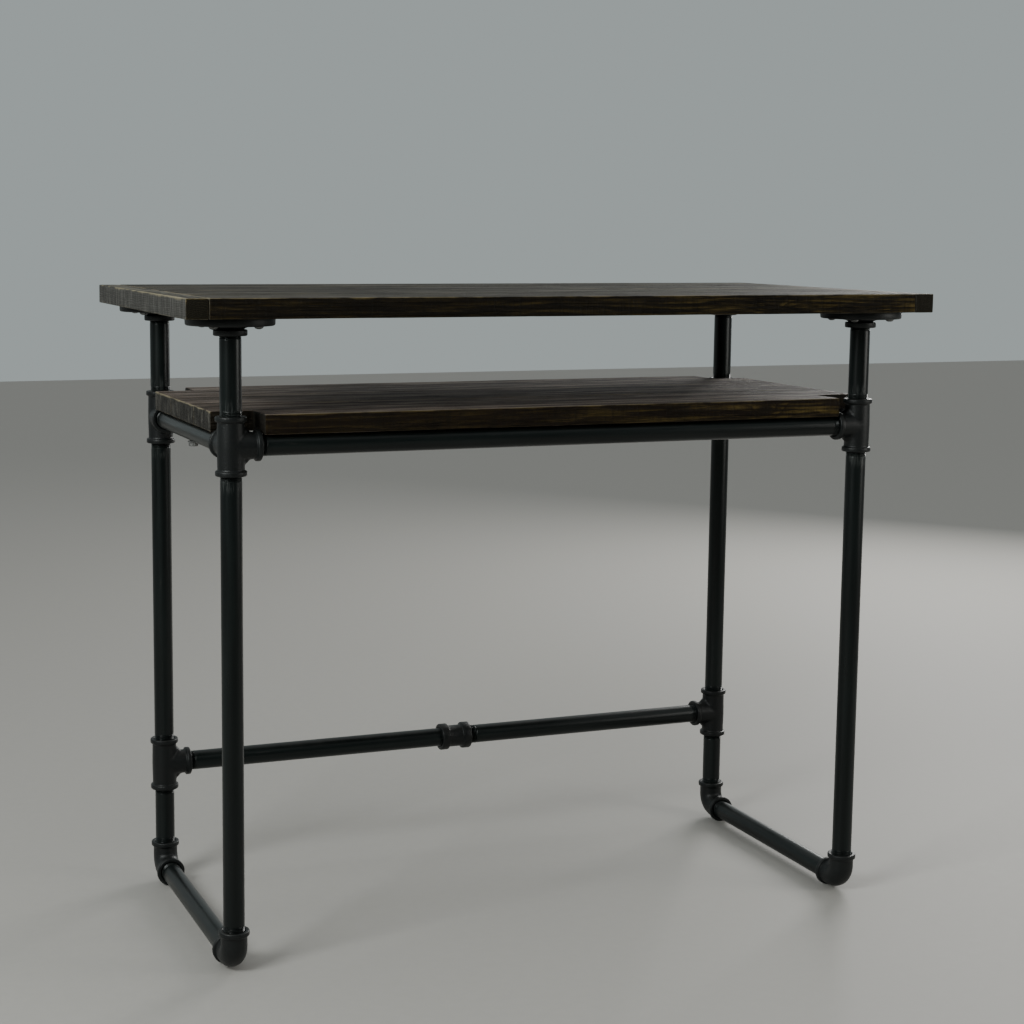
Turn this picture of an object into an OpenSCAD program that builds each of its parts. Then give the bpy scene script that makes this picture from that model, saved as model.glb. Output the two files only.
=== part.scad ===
// Desk on a black iron pipe frame, with a plank top and a plank shelf below it.
// Millimetres, +Z up, X along the length of the desk, -Y is the side where a person works.
// The origin is on the floor, under the middle of the top.

/* [Top] */
// Length of the top along X
top_w = 1016; // [900:1:1500]
// Depth of the top along Y
top_d = 508; // [460:1:700]
// Thickness of the top boards
top_t = 25.4; // [19:0.1:40]
// Height of the work surface above the floor
desk_h = 838; // [760:1:1070]
// Width of the cross-grain strip at each end of the top
cleat_w = 28; // [20:1:28]
// Boards side by side in the top
top_boards = 4; // [4]
// Distance from the end of the top to the leg axis
end_overhang = 70; // [60:1:120]
// Distance from the front or back edge of the top to the leg axis
side_overhang = 66; // [60:1:64]

/* [Shelf] */
// Height of the shelf's upper face above the floor
shelf_h = 697; // [500:1:720]
// Thickness of the shelf boards
shelf_t = 25.4; // [19:0.1:40]
// Distance from the middle forward to the shelf's front joint
shelf_joint_front = 66; // [40:1:90]
// Distance from the middle back to the shelf's rear joint
shelf_joint_rear = 58; // [40:1:90]
// How far the shelf reaches outside the leg axes
shelf_reach = 16; // [14:1:20]
// Distance from a leg axis to the notch faces inside it
notch = 38; // [38:1:50]

/* [Pipe] */
// Outside diameter of three-quarter inch pipe
pipe_od = 26.67; // [26.67]
// Wall thickness of the pipe
pipe_wall = 2.87; // [2:0.01:3.9]
// Length of pipe end screwed into a fitting
engage = 14; // [12:0.5:16]
// Height of the back stretcher's axis above the floor
stretcher_z = 168; // [120:1:400]

/* [Fittings] */
// Distance from a fitting's centre to the face of each outlet
arm = 36; // [34:0.5:40]
// Outside diameter of the raised band at each outlet
band_d = 38.6; // [37:0.1:42]
// Width of the band
band_w = 6.5; // [5:0.5:8]
// Outside diameter of the body between the bands
body_d = 33; // [32:0.5:35]
// Radius of the elbow's bend, measured to its axis
bend_r = 20; // [18:0.5:22]
// Length of the coupling in the stretcher
coupling_l = 46; // [40:1:60]
// Width of the coupling's end bands
coupling_band_w = 12; // [8:0.5:14]
// Outside diameter of the coupling between its bands
coupling_body_d = 31.5; // [30:0.5:34]

/* [Flanges] */
// Outside diameter of the floor flange's plate
flange_d = 108; // [95:1:120]
// Thickness of the plate at its rim
flange_t = 9.5; // [6:0.5:11]
// Height of the whole flange
flange_h = 22; // [20:1:30]
// Outside diameter of the collar round the pipe
collar_d = 41.2; // [38:0.1:44]
// Height of the collar
collar_h = 7.5; // [6:0.5:9]
// Diameter of the circle that the four screws lie on
flange_pcd = 78; // [70:1:84]

/* [Hidden] */
$fn = 64;
clear = 0.05;
pipe_r = pipe_od / 2;
band_r = band_d / 2;
body_r = body_d / 2;
waterway_r = 10.4;
socket_depth = engage + 1;
round_edge = 1.2;
leg_x = top_w / 2 - end_overhang;
leg_y = top_d / 2 - side_overhang;
top_under = desk_h - top_t;
shelf_under = shelf_h - shelf_t;
rail_z = shelf_under - pipe_r;
base_z = band_r;
shelf_x = leg_x + shelf_reach;
shelf_y = leg_y + shelf_reach;
notch_x = leg_x - notch;
notch_y = leg_y - notch;
board_l = top_w - 2 * cleat_w;
board_d = top_d / top_boards;
shelf_joints = [-shelf_joint_front, shelf_joint_rear];
shelf_edges = [-shelf_y, -shelf_joint_front, shelf_joint_rear, shelf_y];
screw_r = 2.6;
screw_head_r = 5.6;
screw_head_h = 3;
screw_l = 26;
dowel_r = 4;
dowel_l = 40;
dowel_xs = [-360, -120, 120, 360];
lag_r = 3.15;
lag_head_r = 6.4;
lag_head_h = 5;
lag_washer_r = 7.5;
lag_washer_h = 1.5;
lag_depth = 18;
iron = "#1f2223";
steel = "#262b2c";
zinc = "#8f9190";
wood = "#3d362b";
birch = "#b89f73";

// A cylinder whose ends are eased by a small chamfer
module eased_cylinder(r, h, ease) {
    rotate_extrude()
        polygon([[0, 0], [r - ease, 0], [r, ease], [r, h - ease], [r - ease, h], [0, h]]);
}

// A straight pipe along +Z that starts at the origin
module pipe(length) {
    color(steel)
        difference() {
            cylinder(r = pipe_r, h = length);
            translate([0, 0, -1])
                cylinder(r = pipe_r - pipe_wall, h = length + 2);
        }
}

// The solid of one outlet, along +Z from the fitting's centre
module arm_solid(start) {
    translate([0, 0, start])
        cylinder(r = body_r, h = arm - start - band_w / 2);
    translate([0, 0, arm - band_w])
        eased_cylinder(band_r, band_w, round_edge);
}

// The socket and waterway of one outlet, along +Z from the fitting's centre
module arm_bore(start) {
    translate([0, 0, arm - socket_depth])
        cylinder(r = pipe_r + clear, h = socket_depth + 1);
    translate([0, 0, start])
        cylinder(r = waterway_r, h = arm - start);
}

// Turns +Z to the given direction: "up", "down", "x", "-x", "y" or "-y"
module facing(direction) {
    turn = direction == "up" ? [0, 0, 0]
        : direction == "down" ? [180, 0, 0]
        : direction == "x" ? [0, 90, 0]
        : direction == "-x" ? [0, -90, 0]
        : direction == "y" ? [-90, 0, 0]
        : [90, 0, 0];
    rotate(turn)
        children();
}

// A cast tee or side-outlet tee with an outlet in each direction of the list
module tee(outlets) {
    color(iron)
        difference() {
            union() {
                sphere(r = body_r);
                for (direction = outlets)
                    facing(direction)
                        arm_solid(0);
            }
            sphere(r = waterway_r);
            for (direction = outlets)
                facing(direction)
                    arm_bore(0);
        }
}

// A cast elbow from +Z to +Y
module elbow() {
    color(iron)
        difference() {
            union() {
                elbow_bend(body_r);
                for (direction = ["up", "y"])
                    facing(direction)
                        arm_solid(bend_r);
            }
            elbow_bend(waterway_r);
            for (direction = ["up", "y"])
                facing(direction)
                    arm_bore(bend_r);
        }
}

// A quarter ring of round section, from +Z to +Y
module elbow_bend(r) {
    translate([0, bend_r, bend_r])
        rotate([0, -90, 0])
            rotate([0, 0, 180])
                rotate_extrude(angle = 90)
                    translate([bend_r, 0])
                        circle(r = r);
}

// The stretcher's coupling, along X
module coupling() {
    color(iron)
        facing("x")
            difference() {
                union() {
                    translate([0, 0, -coupling_l / 2 + 1])
                        cylinder(d = coupling_body_d, h = coupling_l - 2);
                    for (low = [-coupling_l / 2, coupling_l / 2 - coupling_band_w])
                        translate([0, 0, low])
                            eased_cylinder(band_r, coupling_band_w, round_edge);
                }
                translate([0, 0, -coupling_l / 2 - 1])
                    cylinder(r = pipe_r + clear, h = coupling_l + 2);
            }
}

// The floor flange, hanging from its plate's flat face at the origin
module flange() {
    rim_r = flange_d / 2;
    neck_r = 16.5;
    collar_r = collar_d / 2;
    collar_low = flange_h - collar_h;
    color(iron)
        difference() {
            facing("down")
                rotate_extrude()
                    polygon([
                        [pipe_r + clear, 0], [rim_r - 1, 0], [rim_r, 1],
                        [rim_r, flange_t - 1.5], [rim_r - 1.5, flange_t],
                        [neck_r + 8, flange_t + 1.8], [neck_r + 2, flange_t + 2.8],
                        [neck_r, collar_low], [collar_r - round_edge, collar_low],
                        [collar_r, collar_low + round_edge],
                        [collar_r, flange_h - round_edge], [collar_r - round_edge, flange_h],
                        [pipe_r + clear, flange_h],
                    ]);
            for (turn = [45, 135, 225, 315])
                rotate([0, 0, turn])
                    translate([flange_pcd / 2, 0, -flange_h])
                        cylinder(r = screw_r + 0.4, h = flange_h + 1);
        }
}

// A round-headed wood screw, its head's flat under the flange plate and its point up
module flange_screw() {
    seat = flange_t + 0.9;
    color(zinc) {
        translate([0, 0, -seat])
            cylinder(r = screw_r, h = screw_l - 3);
        translate([0, 0, -seat + screw_l - 3])
            cylinder(r1 = screw_r, r2 = 0.6, h = 3);
        translate([0, 0, -seat - screw_head_h])
            rotate_extrude()
                polygon([
                    [0, 0], [screw_head_r * 0.55, 0], [screw_head_r * 0.88, screw_head_h * 0.35],
                    [screw_head_r, screw_head_h * 0.8], [screw_head_r, screw_head_h],
                    [0, screw_head_h],
                ]);
    }
}

// Each flange and what hangs from it stands at one of these places
module at_leg(side_x, side_y) {
    translate([side_x * leg_x, side_y * leg_y, 0])
        children();
}

// The four screws of one flange, or the holes that they need
module flange_screw_places(side_x, side_y) {
    at_leg(side_x, side_y)
        for (turn = [45, 135, 225, 315])
            translate([0, 0, top_under])
                rotate([0, 0, turn])
                    translate([flange_pcd / 2, 0, 0])
                        children();
}

// Dowels along one joint line at depth y, in the middle of a panel's thickness
module dowel_row(y, z, xs, grow) {
    for (x = xs)
        translate([x, y - dowel_l / 2 - grow, z])
            facing("y")
                cylinder(r = dowel_r + grow / 2, h = dowel_l + 2 * grow);
}

// Dowels from the ends of the top boards into one end strip
module end_dowels(side, grow) {
    for (index = [0 : top_boards - 1])
        translate([side * (board_l / 2 - 24 - grow), (index + 0.5) * board_d - top_d / 2,
                   desk_h - top_t / 2])
            facing(side > 0 ? "x" : "-x")
                cylinder(r = dowel_r + grow / 2, h = 44 + 2 * grow);
}

// A board of the top, counted from the front
module top_board(index) {
    color(wood)
        difference() {
            translate([-board_l / 2, (index - 1) * board_d - top_d / 2, top_under])
                cube([board_l, board_d, top_t]);
            for (joint = [1 : top_boards - 1])
                dowel_row(joint * board_d - top_d / 2, desk_h - top_t / 2, dowel_xs, 0.1);
            for (side = [-1, 1]) {
                end_dowels(side, 0.1);
                if (index == 1 || index == top_boards)
                    flange_screw_places(side, index == 1 ? -1 : 1)
                        translate([0, 0, -1])
                            cylinder(r = screw_r + clear, h = screw_l - flange_t + 1);
            }
        }
}

// The strip across the ends of the top boards
module top_end_strip(side) {
    color(wood)
        difference() {
            translate([side * (top_w - cleat_w) / 2 - cleat_w / 2, -top_d / 2, top_under])
                cube([cleat_w, top_d, top_t]);
            end_dowels(side, 0.1);
        }
}

// All the dowels inside the top
module top_dowels() {
    color(birch) {
        for (joint = [1 : top_boards - 1])
            dowel_row(joint * board_d - top_d / 2, desk_h - top_t / 2, dowel_xs, 0);
        for (side = [-1, 1])
            end_dowels(side, 0);
    }
}

// A board of the shelf, counted from the front; the outer two are cut back around the legs
module shelf_board(index) {
    low_y = shelf_edges[index - 1];
    color(wood)
        difference() {
            translate([-shelf_x, low_y, shelf_under])
                cube([2 * shelf_x, shelf_edges[index] - low_y, shelf_t]);
            for (side_x = [-1, 1]) {
                for (side_y = [-1, 1])
                    translate([side_x * (notch_x + 50) - 50, side_y * (notch_y + 50) - 50,
                               shelf_under - 1])
                        cube([100, 100, shelf_t + 2]);
                translate([side_x * leg_x, 0, shelf_under - 1])
                    cylinder(r = lag_r + clear, h = lag_depth + 2);
            }
            for (joint_y = shelf_joints)
                dowel_row(joint_y, shelf_h - shelf_t / 2, dowel_xs, 0.1);
        }
}

// All the dowels inside the shelf
module shelf_dowels() {
    color(birch)
        for (joint_y = shelf_joints)
            dowel_row(joint_y, shelf_h - shelf_t / 2, dowel_xs, 0);
}

// The short post between a flange and a shelf tee
module post(side_x, side_y) {
    low = rail_z + arm - engage;
    at_leg(side_x, side_y)
        translate([0, 0, low])
            pipe(top_under - 2 - low);
}

// The side-outlet tee that carries two shelf rails
module shelf_tee(side_x, side_y) {
    at_leg(side_x, side_y)
        translate([0, 0, rail_z])
            tee(["up", "down", side_x > 0 ? "-x" : "x", side_y > 0 ? "-y" : "y"]);
}

// A shelf rail along X at the front or back
module shelf_rail_long(side_y) {
    length = 2 * (leg_x - arm + engage);
    translate([-length / 2, side_y * leg_y, rail_z])
        facing("x")
            pipe(length);
}

// A shelf rail along Y at one side, drilled for its lag screw
module shelf_rail_short(side_x) {
    length = 2 * (leg_y - arm + engage);
    difference() {
        translate([side_x * leg_x, -length / 2, rail_z])
            facing("y")
                pipe(length);
        color(steel)
            translate([side_x * leg_x, 0, rail_z - pipe_od])
                cylinder(r = lag_r + clear, h = 2 * pipe_od);
    }
}

// The hex lag screw and its washer that hold the shelf down on a side rail
module shelf_lag_screw(side_x) {
    under = rail_z - pipe_r - 0.3;
    color(zinc)
        translate([side_x * leg_x, 0, 0]) {
            translate([0, 0, under])
                cylinder(r = lag_r, h = shelf_under + lag_depth - under);
            translate([0, 0, under - lag_washer_h])
                cylinder(r = lag_washer_r, h = lag_washer_h);
            translate([0, 0, under - lag_washer_h - lag_head_h])
                cylinder(r = lag_head_r, h = lag_head_h, $fn = 6);
        }
}

// A leg from a shelf tee down to a lower fitting whose centre is at height low_centre
module leg(side_x, side_y, low_centre) {
    low = low_centre + arm - engage;
    at_leg(side_x, side_y)
        translate([0, 0, low])
            pipe(rail_z - arm + engage - low);
}

// The tee on a rear leg that carries the stretcher
module stretcher_tee(side_x) {
    at_leg(side_x, 1)
        translate([0, 0, stretcher_z])
            tee(["up", "down", side_x > 0 ? "-x" : "x"]);
}

// Half of the stretcher, from a rear tee to the coupling
module stretcher_pipe(side_x) {
    outer = leg_x - arm + engage;
    gap = 2;
    translate([side_x > 0 ? gap : -outer, leg_y, stretcher_z])
        facing("x")
            pipe(outer - gap);
}

// The rear leg's short pipe between the stretcher tee and the elbow
module leg_stub(side_x) {
    low = base_z + arm - engage;
    at_leg(side_x, 1)
        translate([0, 0, low])
            pipe(stretcher_z - arm + engage - low);
}

// The elbow that a leg stands on
module base_elbow(side_x, side_y) {
    at_leg(side_x, side_y)
        translate([0, 0, base_z])
            rotate([0, 0, side_y > 0 ? 180 : 0])
                elbow();
}

// The pipe along the floor between the two elbows of one side
module base_pipe(side_x) {
    length = 2 * (leg_y - arm + engage);
    translate([side_x * leg_x, -length / 2, base_z])
        facing("y")
            pipe(length);
}

top_board(1);  // top_board_1
top_board(2);  // top_board_2
top_board(3);  // top_board_3
top_board(4);  // top_board_4
top_end_strip(-1);  // top_end_strip_left
top_end_strip(1);  // top_end_strip_right
top_dowels();
shelf_board(1);  // shelf_board_1
shelf_board(2);  // shelf_board_2
shelf_board(3);  // shelf_board_3
shelf_dowels();
at_leg(-1, -1) translate([0, 0, top_under]) flange();  // flange_front_left
at_leg(1, -1) translate([0, 0, top_under]) flange();  // flange_front_right
at_leg(-1, 1) translate([0, 0, top_under]) flange();  // flange_rear_left
at_leg(1, 1) translate([0, 0, top_under]) flange();  // flange_rear_right
for (side_x = [-1, 1], side_y = [-1, 1])  // flange_screws
        flange_screw_places(side_x, side_y)
            flange_screw();
post(-1, -1);  // post_front_left
post(1, -1);  // post_front_right
post(-1, 1);  // post_rear_left
post(1, 1);  // post_rear_right
shelf_tee(-1, -1);  // shelf_tee_front_left
shelf_tee(1, -1);  // shelf_tee_front_right
shelf_tee(-1, 1);  // shelf_tee_rear_left
shelf_tee(1, 1);  // shelf_tee_rear_right
shelf_rail_long(-1);  // shelf_rail_front
shelf_rail_long(1);  // shelf_rail_rear
shelf_rail_short(-1);  // shelf_rail_left
shelf_rail_short(1);  // shelf_rail_right
for (side_x = [-1, 1])  // shelf_lag_screws
        shelf_lag_screw(side_x);
leg(-1, -1, base_z);  // leg_front_left
leg(1, -1, base_z);  // leg_front_right
leg(-1, 1, stretcher_z);  // leg_rear_left
leg(1, 1, stretcher_z);  // leg_rear_right
stretcher_tee(-1);  // stretcher_tee_left
stretcher_tee(1);  // stretcher_tee_right
stretcher_pipe(-1);  // stretcher_pipe_left
stretcher_pipe(1);  // stretcher_pipe_right
translate([0, leg_y, stretcher_z]) coupling();  // stretcher_coupling
leg_stub(-1);  // leg_stub_rear_left
leg_stub(1);  // leg_stub_rear_right
base_elbow(-1, -1);  // elbow_front_left
base_elbow(1, -1);  // elbow_front_right
base_elbow(-1, 1);  // elbow_rear_left
base_elbow(1, 1);  // elbow_rear_right
base_pipe(-1);  // base_pipe_left
base_pipe(1);  // base_pipe_right
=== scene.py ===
import math

import bmesh
import bpy
from mathutils import Matrix, Quaternion, Vector, noise


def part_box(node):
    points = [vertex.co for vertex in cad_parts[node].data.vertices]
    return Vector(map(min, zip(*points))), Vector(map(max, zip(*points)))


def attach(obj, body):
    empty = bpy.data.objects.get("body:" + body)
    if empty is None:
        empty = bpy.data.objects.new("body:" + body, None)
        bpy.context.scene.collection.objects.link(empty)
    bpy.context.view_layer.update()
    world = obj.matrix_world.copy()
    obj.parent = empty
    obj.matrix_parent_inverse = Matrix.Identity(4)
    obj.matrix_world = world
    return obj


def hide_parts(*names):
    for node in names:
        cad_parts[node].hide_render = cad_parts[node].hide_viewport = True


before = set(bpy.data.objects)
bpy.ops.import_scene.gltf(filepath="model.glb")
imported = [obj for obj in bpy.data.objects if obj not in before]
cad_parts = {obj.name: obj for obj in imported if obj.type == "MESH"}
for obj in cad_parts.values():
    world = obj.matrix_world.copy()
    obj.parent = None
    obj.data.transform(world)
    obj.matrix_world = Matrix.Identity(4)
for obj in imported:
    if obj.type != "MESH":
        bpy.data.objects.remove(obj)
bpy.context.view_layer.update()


# ------------------------------------------------------------------ straight pipes
# Every straight member of the frame is three-quarter inch black steel pipe with a thin
# black lacquer. It is cut to length, threaded at both ends and screwed hard into the
# cast fittings, so the last turns stay in sight.


def add(tree, kind, plugs=None, **settings):
    """Adds a node; plugs gives each input a plain value or another node's socket."""
    node = tree.nodes.new(kind)
    for setting, value in settings.items():
        setattr(node, setting, value)
    for plug, value in (plugs or {}).items():
        if isinstance(value, bpy.types.NodeSocket):
            tree.links.new(value, node.inputs[plug])
        else:
            node.inputs[plug].default_value = value
    return node


def calc(tree, operation, *values):
    """The result of one Math node."""
    return add(tree, "ShaderNodeMath", dict(enumerate(values)), operation=operation).outputs[0]


def within(tree, value, low, high):
    """A value held between two limits."""
    return calc(tree, "MINIMUM", calc(tree, "MAXIMUM", value, low), high)


def fade(tree, value, start, end):
    """A smooth ramp from 0 at start to 1 at end."""
    plugs = {"Value": value, "From Min": start, "From Max": end}
    ramp = add(tree, "ShaderNodeMapRange", plugs, interpolation_type="SMOOTHSTEP")
    return ramp.outputs["Result"]


def vector_calc(tree, operation, *values):
    """The vector result of one Vector Math node."""
    node = add(tree, "ShaderNodeVectorMath", dict(enumerate(values)), operation=operation)
    return node.outputs["Vector"]


def new_group(name, kind, inputs, outputs):
    """An empty node group with named sockets, and its two ends."""
    tree = bpy.data.node_groups.new(name, kind)
    for direction, sockets in (("INPUT", inputs), ("OUTPUT", outputs)):
        for label, form in sockets.items():
            tree.interface.new_socket(label, in_out=direction, socket_type="NodeSocket" + form)
    return tree, tree.nodes.new("NodeGroupInput").outputs, tree.nodes.new("NodeGroupOutput").inputs


PIPE_OUTSIDE, PIPE_BORE = 0.013335, 0.010465
THREAD_PITCH, THREAD_DEPTH, THREAD_RUN_OUT = 0.001814, 0.0010, 0.003


def threaded_pipe_tree():
    """Nodes for a pipe along +Z: rows of a grid cylinder become its outer wall, with fine
    rows at the threads, then its far rim, bore and near rim. The thread drawn here is
    parallel and winds left-handed, where a real pipe's is tapered and right-handed."""
    turn_rows = 40
    last_outer = 2 * turn_rows + 4
    rows = last_outer + 2
    tree, size, out = new_group(
        "threaded_pipe",
        "GeometryNodeTree",
        {
            "Length": "Float", "Outer Radius": "Float", "Bore Radius": "Float",
            "Near Hidden": "Float", "Near Thread": "Float",
            "Far Hidden": "Float", "Far Thread": "Float",
            "Thread Pitch": "Float", "Thread Depth": "Float",
            "Turn": "Vector", "Place": "Vector", "Finish": "Material",
        },
        {"Pipe": "Geometry"},
    )
    tube = add(
        tree, "GeometryNodeMeshCylinder",
        {"Vertices": 48, "Side Segments": rows, "Radius": 1.0, "Depth": 1.0},
        fill_type="NONE",
    ).outputs["Mesh"]
    position = add(tree, "GeometryNodeInputPosition").outputs[0]
    x, y, z = add(tree, "ShaderNodeSeparateXYZ", {0: position}).outputs
    row = calc(tree, "ROUND", calc(tree, "MULTIPLY", calc(tree, "ADD", z, 0.5), rows))
    near_step = calc(tree, "DIVIDE", size["Near Thread"], turn_rows)
    far_step = calc(tree, "DIVIDE", size["Far Thread"], turn_rows)
    near = calc(tree, "ADD", size["Near Hidden"], size["Near Thread"])
    far = calc(tree, "ADD", size["Far Hidden"], size["Far Thread"])
    middle = calc(tree, "SUBTRACT", calc(tree, "SUBTRACT", size["Length"], near), far)
    height = 0.0
    first = 1
    for count, step in (
        (1, size["Near Hidden"]), (turn_rows, near_step), (1, middle),
        (turn_rows, far_step), (1, size["Far Hidden"]),
    ):
        passed = within(tree, calc(tree, "SUBTRACT", row, first), 0, count)
        height = calc(tree, "ADD", height, calc(tree, "MULTIPLY", passed, step))
        first += count
    height = calc(tree, "MULTIPLY", height, calc(tree, "LESS_THAN", row, rows - 0.5))
    outer = calc(
        tree, "MULTIPLY",
        calc(tree, "GREATER_THAN", row, 0.5), calc(tree, "LESS_THAN", row, last_outer + 0.5),
    )
    near_cut = fade(tree, height, near, calc(tree, "SUBTRACT", near, THREAD_RUN_OUT))
    from_far = calc(tree, "SUBTRACT", size["Length"], height)
    far_cut = fade(tree, from_far, far, calc(tree, "SUBTRACT", far, THREAD_RUN_OUT))
    turns = calc(tree, "DIVIDE", height, size["Thread Pitch"])
    angle = calc(tree, "DIVIDE", calc(tree, "ARCTAN2", y, x), 2 * math.pi)
    phase = calc(tree, "FRACT", calc(tree, "ADD", turns, angle))
    flank = calc(tree, "ABSOLUTE", calc(tree, "MULTIPLY_ADD", phase, 2.0, -1.0))
    groove = calc(tree, "MAXIMUM", calc(tree, "MULTIPLY_ADD", flank, 1.25, -0.25), 0)
    cut = calc(tree, "MULTIPLY", calc(tree, "MAXIMUM", near_cut, far_cut), groove)
    wall = calc(
        tree, "SUBTRACT", size["Outer Radius"], calc(tree, "MULTIPLY", cut, size["Thread Depth"])
    )
    thick = calc(tree, "SUBTRACT", wall, size["Bore Radius"])
    radius = calc(tree, "MULTIPLY_ADD", outer, thick, size["Bore Radius"])
    place = add(
        tree, "ShaderNodeCombineXYZ",
        {0: calc(tree, "MULTIPLY", x, radius), 1: calc(tree, "MULTIPLY", y, radius), 2: height},
    ).outputs[0]
    shaped = add(tree, "GeometryNodeSetPosition", {"Geometry": tube, "Position": place}).outputs[0]
    closed = add(tree, "GeometryNodeMergeByDistance", {"Geometry": shaped, "Distance": 1e-5})
    smooth = add(
        tree, "GeometryNodeSetShadeSmooth", {"Geometry": closed.outputs[0]}, domain="FACE"
    )
    bend = add(tree, "GeometryNodeInputMeshEdgeAngle").outputs[0]
    crisp = add(
        tree, "GeometryNodeSetShadeSmooth",
        {"Geometry": smooth.outputs[0], "Selection": calc(tree, "GREATER_THAN", bend, 0.5),
         "Shade Smooth": False},
        domain="EDGE",
    )
    turn = add(tree, "FunctionNodeEulerToRotation", {0: size["Turn"]}).outputs[0]
    placed = add(
        tree, "GeometryNodeTransform",
        {"Geometry": crisp.outputs[0], "Translation": size["Place"], "Rotation": turn},
    )
    real = add(tree, "GeometryNodeRealizeInstances", {0: placed.outputs[0]})
    done = add(
        tree, "GeometryNodeSetMaterial", {"Geometry": real.outputs[0], "Material": size["Finish"]}
    )
    tree.links.new(done.outputs[0], out["Pipe"])
    return tree


def made_by(tree, name, sizes):
    """A plain mesh object made by a Geometry Nodes tree from its named sizes."""
    maker = bpy.data.objects.new(name + "_maker", bpy.data.meshes.new(name + "_maker"))
    bpy.context.scene.collection.objects.link(maker)
    modifier = maker.modifiers.new("maker", "NODES")
    modifier.node_group = tree
    for socket in tree.interface.items_tree:
        if socket.in_out == "INPUT" and socket.name in sizes:
            modifier[socket.identifier] = sizes[socket.name]
    graph = bpy.context.evaluated_depsgraph_get()
    mesh = bpy.data.meshes.new_from_object(maker.evaluated_get(graph))
    bpy.data.objects.remove(maker)
    mesh.name = name
    piece = bpy.data.objects.new(name, mesh)
    bpy.context.scene.collection.objects.link(piece)
    return piece


def stand_in(piece, node):
    """The piece shows in place of its CAD node, on the frame's one rigid body."""
    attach(piece, "root")
    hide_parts(node)


def cloudy(tree, vector, scale, detail=3.0, roughness=0.55):
    """Noise from 0 to 1, with scale in lumps per metre, either one number or one per axis."""
    if not isinstance(scale, (int, float)):
        vector = vector_calc(tree, "MULTIPLY", vector, scale)
        scale = 1.0
    plugs = {"Vector": vector, "Scale": scale, "Detail": detail, "Roughness": roughness}
    return add(tree, "ShaderNodeTexNoise", plugs).outputs["Fac"]


def tint(tree, mask, under, over):
    """One colour laid over another where a mask is 1."""
    mix = add(tree, "ShaderNodeMix", {0: mask}, data_type="RGBA")
    for plug, value in ((6, under), (7, over)):
        if isinstance(value, bpy.types.NodeSocket):
            tree.links.new(value, mix.inputs[plug])
        else:
            mix.inputs[plug].default_value = (*value, 1.0)
    return mix.outputs[2]


def finish_of(name, colour, roughness, height, depth, metallic, plain=None):
    """Closes a material: its colour, roughness and relief meet in one surface shader."""
    tree = colour.id_data
    bump = add(tree, "ShaderNodeBump", {"Strength": 1.0, "Distance": depth, "Height": height})
    plugs = {
        "Base Color": colour, "Roughness": roughness, "Metallic": metallic,
        "Normal": bump.outputs[0],
    }
    surface = add(tree, "ShaderNodeBsdfPrincipled", {**plugs, **(plain or {})})
    out = add(tree, "ShaderNodeOutputMaterial")
    tree.links.new(surface.outputs[0], out.inputs["Surface"])
    return bpy.data.materials[name]


def new_finish(name):
    """An empty material and its nodes, with the piece's own coordinates and surface normal."""
    material = bpy.data.materials.new(name)
    material.use_nodes = True
    material.node_tree.nodes.clear()
    coordinates = add(material.node_tree, "ShaderNodeTexCoord").outputs
    return material.node_tree, coordinates["Object"], coordinates["Normal"]


def dust_group():
    """Pale dust that settles on what faces up, thicker in soft patches."""
    tree, given, out = new_group(
        "settled_dust", "ShaderNodeTree",
        {"Vector": "Vector", "Normal": "Vector", "Amount": "Float"}, {"Mask": "Float"},
    )
    up = fade(tree, add(tree, "ShaderNodeSeparateXYZ", {0: given["Normal"]}).outputs[2], 0.35, 1.0)
    patch = fade(tree, cloudy(tree, given["Vector"], 34.0, 4.0), 0.35, 0.75)
    speck = fade(tree, cloudy(tree, given["Vector"], 900.0, 2.0), 0.55, 0.75)
    amount = calc(tree, "MULTIPLY_ADD", speck, 0.5, patch)
    mask = calc(tree, "MULTIPLY", calc(tree, "MULTIPLY", up, amount), given["Amount"])
    tree.links.new(mask, out["Mask"])
    return tree


def lacquer_group():
    """Thin black lacquer over steel or iron: streaks or lumps, rubbed spots, and relief."""
    tree, given, out = new_group(
        "rubbed_lacquer", "ShaderNodeTree",
        {"Vector": "Vector", "Lumps": "Float", "Rubbed": "Float"},
        {"Tone": "Float", "Rub": "Float", "Height": "Float"},
    )
    broad = cloudy(tree, given["Vector"], 0.35, 3.0)
    lumps = add(
        tree, "ShaderNodeTexNoise",
        {"Vector": given["Vector"], "Scale": given["Lumps"], "Detail": 4.0, "Roughness": 0.6},
    ).outputs["Fac"]
    pits = add(
        tree, "ShaderNodeTexVoronoi", {"Vector": given["Vector"], "Scale": given["Lumps"]},
        feature="SMOOTH_F1",
    ).outputs["Distance"]
    rub_line = calc(tree, "SUBTRACT", 0.72, calc(tree, "MULTIPLY", given["Rubbed"], 0.2))
    rub_end = calc(tree, "ADD", rub_line, 0.09)
    spots = fade(tree, lumps, rub_line, rub_end)
    rub = calc(tree, "MULTIPLY", spots, fade(tree, broad, 0.4, 0.65))
    height = calc(tree, "MULTIPLY_ADD", fade(tree, pits, 0.0, 0.35), 0.35, lumps)
    tree.links.new(broad, out["Tone"])
    tree.links.new(rub, out["Rub"])
    tree.links.new(height, out["Height"])
    return tree


SETTLED_DUST = dust_group()
RUBBED_LACQUER = lacquer_group()


def use_group(tree, group, plugs):
    """Places a shader group in a material and gives its outputs."""
    node = tree.nodes.new("ShaderNodeGroup")
    node.node_tree = group
    for plug, value in plugs.items():
        if isinstance(value, bpy.types.NodeSocket):
            tree.links.new(value, node.inputs[plug])
        else:
            node.inputs[plug].default_value = value
    return node.outputs


BARE_METAL, METAL_DUST = (0.050, 0.048, 0.043), (0.10, 0.096, 0.085)
SCORED_METAL = (0.060, 0.066, 0.064)


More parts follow.
